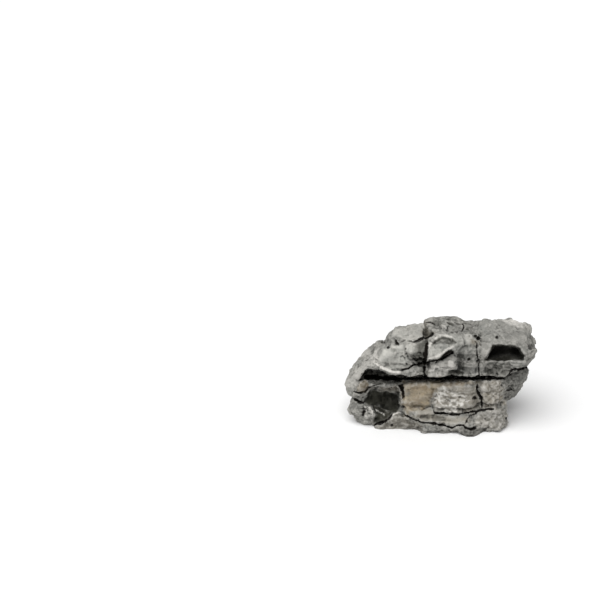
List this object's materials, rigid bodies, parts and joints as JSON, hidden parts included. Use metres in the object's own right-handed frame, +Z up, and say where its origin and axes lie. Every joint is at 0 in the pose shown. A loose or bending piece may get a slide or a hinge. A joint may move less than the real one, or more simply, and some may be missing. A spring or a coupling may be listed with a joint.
{
  "type": "aquarium rock",
  "caption": "Weathered block of layered grey limestone with a deep open seam, stepped ledges and cross joints, standing on its flat underside.",
  "frame": {"origin": "middle of the footprint, on the surface the stone stands on", "axes": "+X to the right of the face with the open seam, +Y to the back, +Z up"},
  "size_m": [0.174, 0.0942, 0.0999],
  "materials": {
    "limestone": "dry, matt grey limestone with pale calcite veins, tan dust on the lower layer and dark mineral film in the hollows"
  },
  "bodies": {
    "root": {"stone": "limestone"}
  },
  "joints": []
}
